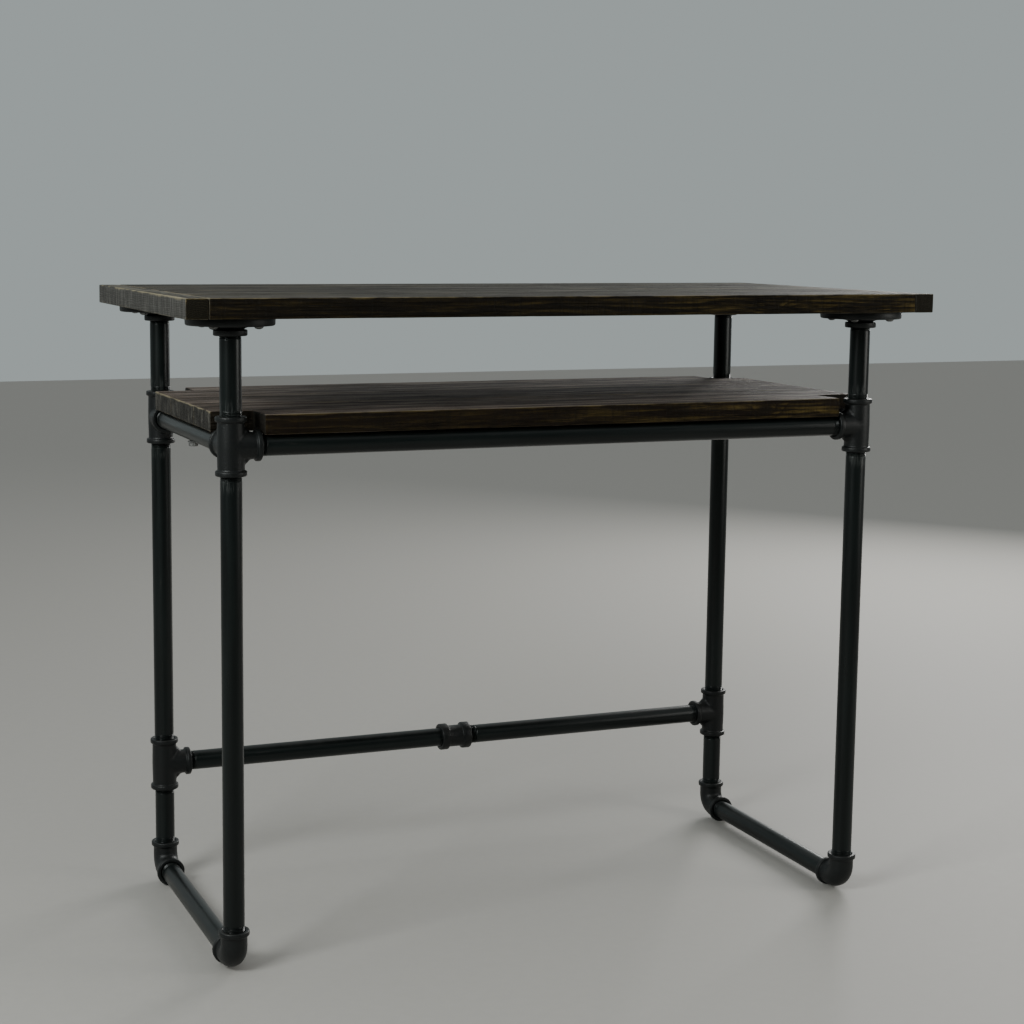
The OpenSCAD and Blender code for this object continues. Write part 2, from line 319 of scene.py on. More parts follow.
def black_metal(
    name, stretch, lumps, rubbed, base, lit, rough_low, rough_high, depth, dust, gripped=(),
):
    """Black lacquer with its own grain: stretch draws the pattern out along an axis, and
    the vice has scored it on both sides of each height in gripped."""
    tree, place, normal = new_finish(name)
    grain = vector_calc(tree, "MULTIPLY", place, stretch)
    skin = use_group(
        tree, RUBBED_LACQUER, {"Vector": grain, "Lumps": lumps, "Rubbed": rubbed}
    )
    dusty = use_group(
        tree, SETTLED_DUST, {"Vector": place, "Normal": normal, "Amount": dust}
    )["Mask"]
    colour = tint(tree, fade(tree, skin["Tone"], 0.3, 0.75), base, lit)
    colour = tint(tree, calc(tree, "MULTIPLY", skin["Rub"], 0.55), colour, BARE_METAL)
    colour = tint(tree, dusty, colour, METAL_DUST)
    relief = skin["Height"]
    for height in gripped:
        z = add(tree, "ShaderNodeSeparateXYZ", {0: place}).outputs[2]
        gap = calc(tree, "ABSOLUTE", calc(tree, "SUBTRACT", z, height))
        zone = calc(
            tree, "MULTIPLY", fade(tree, gap, 0.060, 0.047), fade(tree, gap, 0.036, 0.038)
        )
        score = fade(tree, cloudy(tree, place, (420.0, 420.0, 45.0), 3.0, 0.6), 0.50, 0.62)
        score = calc(tree, "MULTIPLY", score, zone)
        colour = tint(tree, calc(tree, "MULTIPLY", score, 0.55), colour, SCORED_METAL)
        relief = calc(tree, "MULTIPLY_ADD", score, -0.8, relief)
    spread = rough_high - rough_low
    roughness = calc(tree, "MULTIPLY_ADD", skin["Height"], spread, rough_low)
    roughness = calc(tree, "MULTIPLY_ADD", dusty, 0.3, roughness)
    return finish_of(name, colour, roughness, relief, depth, 0.25, {"Specular IOR Level": 0.36})


RAIL_Z = 0.658265
AXIS_TURN = {0: (0.0, math.pi / 2, 0.0), 1: (-math.pi / 2, 0.0, 0.0), 2: (0.0, 0.0, 0.0)}
PIPE_BLACK, PIPE_SHEEN = (0.0038, 0.0060, 0.0058), (0.0085, 0.0130, 0.0125)
PIPE_FINISH = {}
for axis, stretch in ((0, (12, 260, 260)), (1, (260, 12, 260)), (2, (260, 260, 12))):
    PIPE_FINISH[axis] = black_metal(
        "pipe_lacquer_" + "xyz"[axis], stretch, 1.0, 0.35, PIPE_BLACK, PIPE_SHEEN,
        0.19, 0.34, 0.00012, 0.10, (RAIL_Z,) if axis == 2 else (),
    )

PIPE_TREE = threaded_pipe_tree()
CLOSE, IN_FLANGE = (0.013, 0.0085), (0.019, 0.006)
STRAIGHT_PIPES = {
    "base_pipe_left": (CLOSE, CLOSE), "base_pipe_right": (CLOSE, CLOSE),
    "leg_stub_rear_left": (CLOSE, CLOSE), "leg_stub_rear_right": (CLOSE, CLOSE),
    "leg_front_left": (CLOSE, CLOSE), "leg_front_right": (CLOSE, CLOSE),
    "leg_rear_left": (CLOSE, CLOSE), "leg_rear_right": (CLOSE, CLOSE),
    "stretcher_pipe_left": (CLOSE, (0.020, 0.004)),
    "stretcher_pipe_right": ((0.020, 0.013), CLOSE),
    "shelf_rail_front": (CLOSE, CLOSE), "shelf_rail_rear": (CLOSE, CLOSE),
    "shelf_rail_left": (CLOSE, CLOSE), "shelf_rail_right": (CLOSE, CLOSE),
    "post_front_left": (CLOSE, IN_FLANGE), "post_front_right": (CLOSE, IN_FLANGE),
    "post_rear_left": (CLOSE, IN_FLANGE), "post_rear_right": (CLOSE, IN_FLANGE),
}
for node, (near, far) in STRAIGHT_PIPES.items():
    low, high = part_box(node)
    axis = max(range(3), key=lambda i: high[i] - low[i])
    start = (low + high) / 2
    start[axis] = low[axis]
    pipe = made_by(PIPE_TREE, node + "_pipe", {
        "Length": high[axis] - low[axis],
        "Outer Radius": PIPE_OUTSIDE, "Bore Radius": PIPE_BORE,
        "Near Hidden": near[0], "Near Thread": near[1],
        "Far Hidden": far[0], "Far Thread": far[1],
        "Thread Pitch": THREAD_PITCH, "Thread Depth": THREAD_DEPTH,
        "Turn": AXIS_TURN[axis], "Place": tuple(start), "Finish": PIPE_FINISH[axis],
    })
    stand_in(pipe, node)


# ------------------------------------------------------------------ tees and elbows
# The joints are cast malleable iron with a rolled band round each socket. The branches
# run into each other with soft fillets from the mould, and the black skin is pebbled.

IRON_BLACK, IRON_SHEEN = (0.0065, 0.0078, 0.0080), (0.015, 0.018, 0.018)
CAST_IRON_BLACK = black_metal(
    "cast_iron_black", (1, 1, 1), 520.0, 0.7, IRON_BLACK, IRON_SHEEN,
    0.27, 0.46, 0.00030, 0.18,
)
ARM, BODY_R, BEND_R, IN_BAND = 0.036, 0.0165, 0.020, 0.004
CROTCH_OUT, CROTCH_R, MELT_GRAIN, MELT_PASSES = 0.0152, 0.0075, 0.0009, 36
TURN_STEPS, BEND_STEPS = 72, 14
SOCKET_BAND = [
    (15.4, 27.0), (16.45, 27.2), (16.6, 28.4), (17.0, 29.2), (17.8, 29.55), (18.5, 29.75),
    (19.05, 30.25), (19.3, 31.1), (19.3, 34.4), (19.1, 35.25), (18.5, 35.8), (17.8, 36.0),
    (15.2, 36.0), (14.4, 35.3), (13.42, 34.3), (13.40, 31.0),
]


def skin(mesh, rings, loop):
    """Joins rings of points with quads, and closes the shape or caps its two ends."""
    rows = [[mesh.verts.new(point) for point in ring] for ring in rings]
    pairs = list(zip(rows, rows[1:])) + ([(rows[-1], rows[0])] if loop else [])
    for one, other in pairs:
        for i in range(len(one)):
            j = (i + 1) % len(one)
            mesh.faces.new((one[i], one[j], other[j], other[i]))
    if not loop:
        mesh.faces.new(rows[0])
        mesh.faces.new(rows[-1])


def lathe(mesh, profile, turn=Matrix(), steps=TURN_STEPS, loop=True):
    """Turns a profile of (radius, height) points, in millimetres, about +Z."""
    around = [2 * math.pi * i / steps for i in range(steps)]
    rings = [
        [turn @ Vector((r * math.cos(a), r * math.sin(a), z)) * 0.001 for a in around]
        for r, z in profile
    ]
    skin(mesh, rings, loop)


def facing(direction):
    """The turn that takes +Z to a direction."""
    return Vector((0, 0, 1)).rotation_difference(Vector(direction)).to_matrix().to_4x4()


def finished(mesh, name, material, sharp=35):
    """Closes a mesh being built: normals outward, smooth but for its sharp edges."""
    bmesh.ops.recalc_face_normals(mesh, faces=mesh.faces)
    data = bpy.data.meshes.new(name)
    mesh.to_mesh(data)
    mesh.free()
    data.shade_smooth()
    data.set_sharp_from_angle(angle=math.radians(sharp))
    data.materials.append(material)
    piece = bpy.data.objects.new(name, data)
    bpy.context.scene.collection.objects.link(piece)
    return piece


def cast_branches(directions):
    """The body of a tee, solid inside: branches that meet in a ball and are melted together."""
    mesh = bmesh.new()
    bmesh.ops.create_icosphere(mesh, subdivisions=4, radius=BODY_R + 0.0004)
    for direction in directions:
        reach = ARM - IN_BAND
        turn = facing(direction) @ Matrix.Translation((0, 0, reach / 2))
        bmesh.ops.create_cone(
            mesh, cap_ends=True, segments=TURN_STEPS, radius1=BODY_R + 0.0006, radius2=BODY_R,
            depth=reach, matrix=turn,
        )
        for other in directions:
            if abs(Vector(direction).dot(other)) < 0.5:
                crotch = (Vector(direction) + Vector(other)) * CROTCH_OUT
                bmesh.ops.create_icosphere(
                    mesh, subdivisions=3, radius=CROTCH_R, matrix=Matrix.Translation(crotch)
                )
    data = bpy.data.meshes.new("branches")
    mesh.to_mesh(data)
    mesh.free()
    rough = bpy.data.objects.new("branches", data)
    bpy.context.scene.collection.objects.link(rough)
    melt = rough.modifiers.new("melt", "REMESH")
    melt.mode = "VOXEL"
    melt.voxel_size = MELT_GRAIN
    soften = rough.modifiers.new("soften", "SMOOTH")
    soften.factor = 0.5
    soften.iterations = MELT_PASSES
    graph = bpy.context.evaluated_depsgraph_get()
    melted = bpy.data.meshes.new_from_object(rough.evaluated_get(graph))
    bpy.data.objects.remove(rough)
    return melted


def add_bands(mesh, directions):
    """A rolled band round each socket's mouth."""
    for direction in directions:
        lathe(mesh, SOCKET_BAND, facing(direction))


def place_fitting(mesh, name, node, centre):
    """Moves a fitting made round the origin to its place and finishes it."""
    bmesh.ops.translate(mesh, verts=mesh.verts, vec=centre)
    stand_in(finished(mesh, name, CAST_IRON_BLACK), node)


def cast_tee(node, outlets, centre):
    """A tee with a banded socket at each of its outlets."""
    tee = bmesh.new()
    tee.from_mesh(cast_branches(outlets))
    add_bands(tee, outlets)
    place_fitting(tee, node + "_casting", node, centre)


LEG_X, LEG_Y, STRETCHER_Z, BASE_Z = 0.438, 0.188, 0.168, 0.0193
for side, word in ((-1, "left"), (1, "right")):
    outlets = [(0, 0, 1), (0, 0, -1), (-side, 0, 0)]
    for row, place in ((-1, "front"), (1, "rear")):
        centre = (side * LEG_X, row * LEG_Y, RAIL_Z)
        cast_tee(f"shelf_tee_{place}_{word}", outlets + [(0, -row, 0)], centre)
    cast_tee(f"stretcher_tee_{word}", outlets, (side * LEG_X, LEG_Y, STRETCHER_Z))


def elbow(row):
    """A cast bend, solid inside, from the leg to the floor pipe towards the desk's middle."""
    mesh = bmesh.new()
    path = [((0, 0, ARM - IN_BAND), 0.0)]
    for step in range(BEND_STEPS + 1):
        a = math.pi / 2 * step / BEND_STEPS
        path.append(((0, BEND_R * (1 - math.cos(a)), BEND_R * (1 - math.sin(a))), a))
    path.append(((0, ARM - IN_BAND, 0), math.pi / 2))
    rings = []
    for centre, a in path:
        swell = BODY_R * (1 + 0.025 * math.sin(2 * a))
        sides = Vector((0, math.cos(a), math.sin(a)))
        rings.append([
            Vector(centre) + swell * (math.cos(t) * Vector((1, 0, 0)) + math.sin(t) * sides)
            for t in (2 * math.pi * i / TURN_STEPS for i in range(TURN_STEPS))
        ])
    skin(mesh, rings, loop=False)
    add_bands(mesh, [(0, 0, 1), (0, 1, 0)])
    if row > 0:
        bmesh.ops.rotate(mesh, verts=mesh.verts, matrix=Matrix.Rotation(math.pi, 3, "Z"))
    return mesh


CORNERS = {
    "front_left": (-1, -1), "rear_left": (-1, 1), "front_right": (1, -1), "rear_right": (1, 1),
}
for corner, (side, row) in CORNERS.items():
    node = "elbow_" + corner
    centre = (side * LEG_X, row * LEG_Y, BASE_Z)
    place_fitting(elbow(row), node + "_casting", node, centre)


# ------------------------------------------------------------------ stretcher coupling
# A short cast sleeve with a wide band at each end joins the stretcher's two pipes in
# the middle of the desk's back.

COUPLING = [
    (13.40, 19.0), (13.42, 21.4), (14.4, 22.4), (15.2, 23.0), (18.0, 23.0), (18.8, 22.6),
    (19.3, 21.8), (19.3, 12.6), (19.0, 11.7), (18.3, 11.2), (16.9, 10.9), (16.2, 10.2),
    (15.85, 9.0),
]
coupling = bmesh.new()
lathe(coupling, COUPLING + [(r, -z) for r, z in reversed(COUPLING)], facing((1, 0, 0)))
place_fitting(
    coupling, "stretcher_coupling_casting", "stretcher_coupling", (0, LEG_Y, STRETCHER_Z)
)


# ------------------------------------------------------------------ floor flanges
# Each post ends in a cast floor flange turned upside down: a round plate with a
# drafted rim, a dished neck and a banded collar. The plate is screwed to the boards.

TOP_UNDER = 0.8126
FLANGE = [
    (13.45, 0.0), (53.2, 0.0), (53.8, -0.4), (54.0, -1.0), (53.8, -7.6), (53.3, -8.8),
    (52.3, -9.5), (46.0, -9.9), (32.0, -10.6), (25.5, -11.2), (20.5, -12.0), (18.2, -12.9),
    (17.0, -13.7), (16.7, -14.4), (18.6, -14.5), (19.9, -14.8), (20.6, -15.6),
    (20.6, -20.7), (20.2, -21.5), (19.3, -22.0), (15.2, -22.0), (14.4, -21.3), (13.45, -20.3),
]
for corner, (side, row) in CORNERS.items():
    node = "flange_" + corner
    flange = bmesh.new()
    lathe(flange, FLANGE, steps=96)
    centre = (side * LEG_X, row * LEG_Y, TOP_UNDER)
    place_fitting(flange, node + "_casting", node, centre)


# ------------------------------------------------------------------ flange screws
# Four round-headed wood screws with a cross recess hold each flange. They are dull
# zinc, and driven up from below, so each recess stopped at its own angle.


def screw_steel(name):
    """Dull zinc plate with a fine uneven surface and a darker bloom."""
    tree, place, _ = new_finish(name)
    plate = use_group(tree, RUBBED_LACQUER, {"Vector": place, "Lumps": 1500.0, "Rubbed": 0.5})
    bloom = fade(tree, cloudy(tree, place, 420.0), 0.35, 0.7)
    colour = tint(tree, bloom, (0.23, 0.235, 0.23), (0.10, 0.10, 0.098))
    roughness = calc(tree, "MULTIPLY_ADD", plate["Height"], 0.25, 0.28)
    return finish_of(name, colour, roughness, plate["Height"], 0.00006, 0.85)


SCREW_STEEL = screw_steel("dull_zinc_steel")


def flange_screw_tree():
    """Nodes for a ring of screws under each flange, each turned by its own seed."""
    tree, size, out = new_group(
        "flange_screws", "GeometryNodeTree",
        {
            "Across": "Vector", "Circle Radius": "Float", "Seat": "Float",
            "Head Radius": "Float", "Head Height": "Float", "Shank Radius": "Float",
            "Length": "Float", "Recess": "Float", "Seed": "Int", "Finish": "Material",
        },
        {"Screws": "Geometry"},
    )
    ball = add(tree, "GeometryNodeMeshUVSphere", {"Segments": 32, "Rings": 16, "Radius": 1.0})
    position = add(tree, "GeometryNodeInputPosition").outputs[0]
    x, y, z = add(tree, "ShaderNodeSeparateXYZ", {0: position}).outputs
    low = calc(tree, "MULTIPLY", calc(tree, "MINIMUM", z, 0.0), size["Head Height"])
    flat = add(tree, "ShaderNodeCombineXYZ", {
        0: calc(tree, "MULTIPLY", x, size["Head Radius"]),
        1: calc(tree, "MULTIPLY", y, size["Head Radius"]), 2: low,
    }).outputs[0]
    head = add(
        tree, "GeometryNodeSetPosition", {"Geometry": ball.outputs[0], "Position": flat}
    ).outputs[0]
    slots = []
    long_way = calc(tree, "MULTIPLY", size["Head Radius"], 1.05)
    for along in (0, 1):
        sides = [size["Recess"], size["Recess"]]
        sides[along] = long_way
        block = add(tree, "ShaderNodeCombineXYZ", {
            0: sides[0], 1: sides[1], 2: calc(tree, "MULTIPLY", size["Head Height"], 1.2),
        }).outputs[0]
        cube = add(tree, "GeometryNodeMeshCube", {"Size": block}).outputs[0]
        drop = add(
            tree, "ShaderNodeCombineXYZ", {2: calc(tree, "MULTIPLY", size["Head Height"], -1.0)}
        ).outputs[0]
        slots.append(
            add(tree, "GeometryNodeTransform", {"Geometry": cube, "Translation": drop}).outputs[0]
        )
    cut = add(tree, "GeometryNodeMeshBoolean", {"Mesh 1": head}, operation="DIFFERENCE")
    for slot in slots:
        tree.links.new(slot, cut.inputs["Mesh 2"])
    shank = add(tree, "GeometryNodeMeshCone", {
        "Vertices": 24, "Radius Top": calc(tree, "MULTIPLY", size["Shank Radius"], 0.55),
        "Radius Bottom": size["Shank Radius"], "Depth": size["Length"],
    }).outputs[0]
    join = add(tree, "GeometryNodeJoinGeometry")
    tree.links.new(cut.outputs[0], join.inputs[0])
    tree.links.new(shank, join.inputs[0])
    corners = add(tree, "GeometryNodeMeshLine", {"Count": 4, "Offset": (0, 0, 0)}).outputs[0]
    index = add(tree, "GeometryNodeInputIndex").outputs[0]
    right = calc(tree, "MULTIPLY_ADD", calc(tree, "MODULO", index, 2), 2.0, -1.0)
    pair = calc(tree, "FLOOR", calc(tree, "DIVIDE", index, 2))
    back = calc(tree, "MULTIPLY_ADD", pair, 2.0, -1.0)
    sign = add(tree, "ShaderNodeCombineXYZ", {0: right, 1: back, 2: 1.0}).outputs[0]
    spread = vector_calc(tree, "MULTIPLY", sign, size["Across"])
    corners = add(
        tree, "GeometryNodeSetPosition", {"Geometry": corners, "Position": spread}
    ).outputs[0]
    circle = add(
        tree, "GeometryNodeMeshCircle", {"Vertices": 4, "Radius": size["Circle Radius"]}
    ).outputs[0]
    circle = add(
        tree, "GeometryNodeTransform", {"Geometry": circle, "Rotation": (0, 0, math.pi / 4)}
    ).outputs[0]
    rings = add(tree, "GeometryNodeInstanceOnPoints", {"Points": corners, "Instance": circle})
    spots = add(tree, "GeometryNodeRealizeInstances", {0: rings.outputs[0]}).outputs[0]
    stop = add(
        tree, "FunctionNodeRandomValue",
        {"Min": (0, 0, 0), "Max": (0, 0, 6.2), "Seed": size["Seed"]}, data_type="FLOAT_VECTOR",
    ).outputs[0]
    stop = add(tree, "FunctionNodeEulerToRotation", {0: stop}).outputs[0]
    screws = add(
        tree, "GeometryNodeInstanceOnPoints",
        {"Points": spots, "Instance": join.outputs[0], "Rotation": stop},
    ).outputs[0]
    seat = add(tree, "ShaderNodeCombineXYZ", {2: size["Seat"]}).outputs[0]
    screws = add(
        tree, "GeometryNodeTransform", {"Geometry": screws, "Translation": seat}
    ).outputs[0]
    real = add(tree, "GeometryNodeRealizeInstances", {0: screws}).outputs[0]
    done = add(tree, "GeometryNodeSetMaterial", {"Geometry": real, "Material": size["Finish"]})
    tree.links.new(done.outputs[0], out["Screws"])
    return tree


screws = made_by(flange_screw_tree(), "flange_screws_round_head", {
    "Across": (LEG_X, LEG_Y, 0.0), "Circle Radius": 0.039, "Seat": TOP_UNDER - 0.0102,
    "Head Radius": 0.0056, "Head Height": 0.0032, "Shank Radius": 0.0026, "Length": 0.0256,
    "Recess": 0.0011, "Seed": 5, "Finish": SCREW_STEEL,
})
screws.data.shade_smooth()
screws.data.set_sharp_from_angle(angle=math.radians(40))
stand_in(screws, "flange_screws")


# ------------------------------------------------------------------ planks
# The top and the shelf are rough-sawn softwood planks with the growth rings, knots and
# saw marks left on, wire-brushed, stained almost black and rubbed pale along the edges.


def ring_grain_group():
    """Growth rings round a pith, drawn along X, that part round a knot."""
    tree, given, out = new_group(
        "ring_grain", "ShaderNodeTree",
        {
            "Vector": "Vector", "Pith": "Vector", "Ring Width": "Float", "Seed": "Float",
            "Knot Place": "Vector", "Knot Size": "Float",
        },
        {"Ring": "Float", "Fibre": "Float", "Knot": "Float"},
    )
    place = vector_calc(tree, "SUBTRACT", given["Vector"], given["Pith"])
    shift = add(tree, "ShaderNodeCombineXYZ", {0: given["Seed"], 1: given["Seed"]}).outputs[0]
    seeded = vector_calc(tree, "ADD", place, shift)
    _, y, z = add(tree, "ShaderNodeSeparateXYZ", {0: place}).outputs
    sway = cloudy(tree, seeded, (2.6, 9.0, 9.0), 2.0)
    ripple = cloudy(tree, seeded, (11.0, 60.0, 60.0), 3.0)
    y = calc(tree, "MULTIPLY_ADD", calc(tree, "SUBTRACT", sway, 0.5), 0.075, y)
    across = calc(tree, "SQRT", calc(
        tree, "ADD", calc(tree, "MULTIPLY", y, y), calc(tree, "MULTIPLY", z, z)
    ))
    across = calc(tree, "MULTIPLY_ADD", ripple, 0.008, across)
    off = vector_calc(tree, "SUBTRACT", given["Vector"], given["Knot Place"])
    off = vector_calc(tree, "MULTIPLY", off, (0.5, 1.0, 1.0))
    reach = add(tree, "ShaderNodeVectorMath", {0: off}, operation="LENGTH").outputs["Value"]
    reach = calc(tree, "DIVIDE", reach, given["Knot Size"])
    squared = calc(tree, "MULTIPLY", reach, reach)
    pull = calc(tree, "EXPONENT", calc(tree, "MULTIPLY", squared, -0.5))
    pull = calc(tree, "MULTIPLY", pull, given["Knot Size"])
    across = calc(tree, "MULTIPLY_ADD", pull, 1.6, across)
    ring = calc(tree, "FRACT", calc(tree, "DIVIDE", across, given["Ring Width"]))
    late = calc(tree, "MULTIPLY", fade(tree, ring, 0.25, 0.9), fade(tree, ring, 1.0, 0.94))
    fibre = cloudy(tree, seeded, (14.0, 620.0, 620.0), 4.0, 0.65)
    knot = fade(tree, reach, 1.0, 0.45)
    tree.links.new(late, out["Ring"])
    tree.links.new(fibre, out["Fibre"])
    tree.links.new(knot, out["Knot"])
    return tree


def edge_rub_group():
    """Where a plank's edges are rubbed: near two faces of its box at once, most at the top."""
    tree, given, out = new_group(
        "edge_rub", "ShaderNodeTree",
        {"Vector": "Vector", "Low": "Vector", "High": "Vector", "Width": "Float"},
        {"Mask": "Float"},
    )
    below = vector_calc(tree, "SUBTRACT", given["Vector"], given["Low"])
    above = vector_calc(tree, "SUBTRACT", given["High"], given["Vector"])
    inside = vector_calc(tree, "MINIMUM", below, above)
    x, y, z = add(tree, "ShaderNodeSeparateXYZ", {0: inside}).outputs
    most = calc(tree, "MAXIMUM", calc(tree, "MAXIMUM", x, y), z)
    least = calc(tree, "MINIMUM", calc(tree, "MINIMUM", x, y), z)
    total = calc(tree, "ADD", calc(tree, "ADD", x, y), z)
    second = calc(tree, "SUBTRACT", calc(tree, "SUBTRACT", total, most), least)
    uneven = cloudy(tree, given["Vector"], (18.0, 24.0, 70.0), 5.0, 0.65)
    width = calc(tree, "MULTIPLY", given["Width"], fade(tree, uneven, 0.32, 0.72))
    mask = fade(tree, second, calc(tree, "ADD", width, 0.0006), 0.0002)
    from_top = add(tree, "ShaderNodeSeparateXYZ", {0: above}).outputs[2]
    handled = calc(tree, "MULTIPLY_ADD", fade(tree, from_top, 0.009, 0.003), 0.8, 0.2)
    tree.links.new(calc(tree, "MULTIPLY", mask, handled), out["Mask"])
    return tree


def saw_mark_group():
    """Marks of the saw across the grain, on the faces that were never planed."""
    tree, given, out = new_group(
        "saw_marks", "ShaderNodeTree", {"Vector": "Vector", "Normal": "Vector"},
        {"Mask": "Float", "End": "Float", "Side": "Float", "Face": "Float"},
    )
    facing_out = vector_calc(tree, "ABSOLUTE", given["Normal"])
    end, side, face = add(tree, "ShaderNodeSeparateXYZ", {0: facing_out}).outputs
    end, side, face = (fade(tree, value, 0.5, 0.85) for value in (end, side, face))
    side_marks = cloudy(tree, given["Vector"], (150.0, 40.0, 22.0), 4.0, 0.65)
    end_marks = cloudy(tree, given["Vector"], (40.0, 130.0, 24.0), 5.0, 0.7)
    marks = calc(tree, "MULTIPLY", fade(tree, side_marks, 0.42, 0.66), side)
    marks = calc(tree, "MULTIPLY_ADD", fade(tree, end_marks, 0.42, 0.66), end, marks)
    tree.links.new(marks, out["Mask"])
    for name, value in (("End", end), ("Side", side), ("Face", face)):
        tree.links.new(value, out[name])
    return tree


RING_GRAIN = ring_grain_group()
EDGE_RUB = edge_rub_group()
SAW_MARKS = saw_mark_group()


NO_KNOT = ((9.0, 9.0, 9.0), 0.01)
# The third colour scales the stain down on the front and back faces: painted shade.
CRACK, GOLD, SIDE_FACE_PAINTED_SHADE = (0.006, 0.005, 0.004), (0.105, 0.074, 0.019), (0.20, 0.15, 0.07)
# The second colour is painted shade for the faces inside the notches.
FRONT_SAWN, NOTCH_PAINTED_SHADE = (0.005, 0.004, 0.002), (0.010, 0.008, 0.005)
SAWN_DARK, SAWN_PALE = (0.018, 0.017, 0.015), (0.098, 0.093, 0.080)
RUBBED_PALE, RUBBED_GOLD = (0.36, 0.31, 0.20), (0.17, 0.125, 0.045)
KNOT_DARK, WOOD_DUST = (0.010, 0.007, 0.004), (0.20, 0.19, 0.17)
WOOD_GLOSS = {"Specular IOR Level": 0.15}


def stained_plank(name, low, high, pith, seed, stain, ridge, knot):
    """A plank's finish: stain in the grain, brushed ridges, golden bare patches, rubbed edges,
    painted shade on the front, back and notch faces, and painted light growing towards the right
    end.
    """
    tree, place, normal = new_finish(name)
    middle = (Vector(low) + Vector(high)) / 2
    knot_place, knot_size = knot
    grain = use_group(tree, RING_GRAIN, {
        "Vector": place, "Pith": tuple(middle + Vector(pith)), "Ring Width": 0.0062,
        "Seed": seed, "Knot Place": knot_place, "Knot Size": knot_size,
    })
    saw = use_group(tree, SAW_MARKS, {"Vector": place, "Normal": normal})
    edge = use_group(
        tree, EDGE_RUB, {"Vector": place, "Low": tuple(low), "High": tuple(high), "Width": 0.004}
    )["Mask"]
    dusty = use_group(
        tree, SETTLED_DUST, {"Vector": place, "Normal": normal, "Amount": 0.35}
    )["Mask"]
    blotch = fade(tree, cloudy(tree, place, (5.0, 22.0, 40.0), 4.0), 0.38, 0.66)
    streak = fade(tree, cloudy(tree, place, (7.0, 330.0, 330.0), 3.0, 0.6), 0.44, 0.58)
    along_seed = vector_calc(tree, "ADD", place, (seed, 0.0, 0.0))
    broad = cloudy(tree, along_seed, (3.2, 72.0, 72.0), 3.0, 0.7)
    brushed = calc(tree, "MULTIPLY", fade(tree, grain["Fibre"], 0.36, 0.66), grain["Ring"])
    ridges = calc(tree, "MAXIMUM", calc(tree, "MULTIPLY", brushed, 0.7), streak)
    ridges = calc(tree, "MULTIPLY", ridges, calc(tree, "MULTIPLY_ADD", blotch, 0.35, 0.55))
    bands = calc(tree, "MULTIPLY_ADD", fade(tree, broad, 0.42, 0.58), 0.95, 0.15)
    ridges = calc(tree, "MULTIPLY", ridges, bands)
    colour = tint(tree, blotch, [v * 0.55 for v in stain], [v * 1.4 for v in stain])
    colour = tint(tree, ridges, colour, ridge)
    crack = fade(tree, broad, 0.40, 0.36)
    colour = tint(tree, calc(tree, "MULTIPLY", crack, 0.75), colour, CRACK)
    along = add(tree, "ShaderNodeSeparateXYZ", {0: place}).outputs[0]
    # The bare gold patches are wear. Their growth towards the right end of the front and back
    # faces is painted light, where light from the right falls.
    right_end_painted_light = calc(tree, "MULTIPLY_ADD", fade(tree, along, -0.15, 0.42), 0.85, 0.32)
    bare = cloudy(tree, place, (9.0, 130.0, 190.0), 6.0, 0.72)
    bare = calc(tree, "MULTIPLY", fade(tree, bare, 0.44, 0.66), right_end_painted_light)
    bare = calc(tree, "MULTIPLY", bare, calc(tree, "MULTIPLY_ADD", grain["Ring"], -0.7, 1.0))
    # Front and back faces: the stain is darkened several times over, as painted shade where little
    # light falls from the dim room in front. The golden bare patches laid over it are wear.
    front = tint(tree, bare, [v * f for v, f in zip(stain, SIDE_FACE_PAINTED_SHADE)], GOLD)
    front = tint(tree, calc(tree, "MULTIPLY", saw["Mask"], 0.4), front, FRONT_SAWN)
    colour = tint(tree, saw["Side"], colour, front)
    marks = calc(tree, "MULTIPLY_ADD", saw["Mask"], 0.9, 0.08)
    patchy = fade(tree, cloudy(tree, place, (60.0, 75.0, 60.0), 3.0), 0.40, 0.60)
    marks = calc(tree, "MULTIPLY", marks, calc(tree, "MULTIPLY_ADD", patchy, 0.6, 0.4))
    colour = tint(tree, saw["End"], colour, tint(tree, marks, SAWN_DARK, SAWN_PALE))
    worn = calc(tree, "MULTIPLY", edge, calc(tree, "MULTIPLY_ADD", saw["Side"], -0.25, 0.8))
    flat_side = fade(tree, saw["Side"], 0.7, 1.0)
    colour = tint(tree, worn, colour, tint(tree, flat_side, RUBBED_PALE, RUBBED_GOLD))
    # Painted shade: the end and side faces of the notches, set in from the plank's box, are
    # darkened where shade falls inside them.
    half = (Vector(high) - Vector(low)) / 2
    from_middle = vector_calc(tree, "SUBTRACT", place, tuple(middle))
    from_middle = vector_calc(tree, "ABSOLUTE", from_middle)
    inset = vector_calc(tree, "SUBTRACT", tuple(half), from_middle)
    inset = add(tree, "ShaderNodeSeparateXYZ", {0: inset}).outputs
    notch_shade_mask = calc(tree, "MULTIPLY", saw["End"], fade(tree, inset[0], 0.006, 0.012))
    notch_shade_mask = calc(
        tree, "MULTIPLY_ADD", saw["Side"], fade(tree, inset[1], 0.006, 0.012), notch_shade_mask
    )
    colour = tint(tree, calc(tree, "MULTIPLY", notch_shade_mask, 0.8), colour, NOTCH_PAINTED_SHADE)
    colour = tint(tree, calc(tree, "MULTIPLY", grain["Knot"], 0.8), colour, KNOT_DARK)
    colour = tint(tree, calc(tree, "MULTIPLY", dusty, 0.35), colour, WOOD_DUST)
    roughness = calc(tree, "MULTIPLY_ADD", ridges, -0.18, 0.68)
    height = calc(tree, "MULTIPLY_ADD", crack, -1.6, calc(tree, "MULTIPLY", streak, 0.9))
    height = calc(tree, "MULTIPLY_ADD", grain["Ring"], 0.5, height)
    height = calc(tree, "MULTIPLY_ADD", grain["Fibre"], 0.5, height)
    height = calc(tree, "MULTIPLY_ADD", saw["Mask"], -0.5, height)
    return finish_of(name, colour, roughness, height, 0.0011, 0.0, WOOD_GLOSS)


EASED, MESH_STEP = 0.0016, (0.009, 0.009, 0.0085)


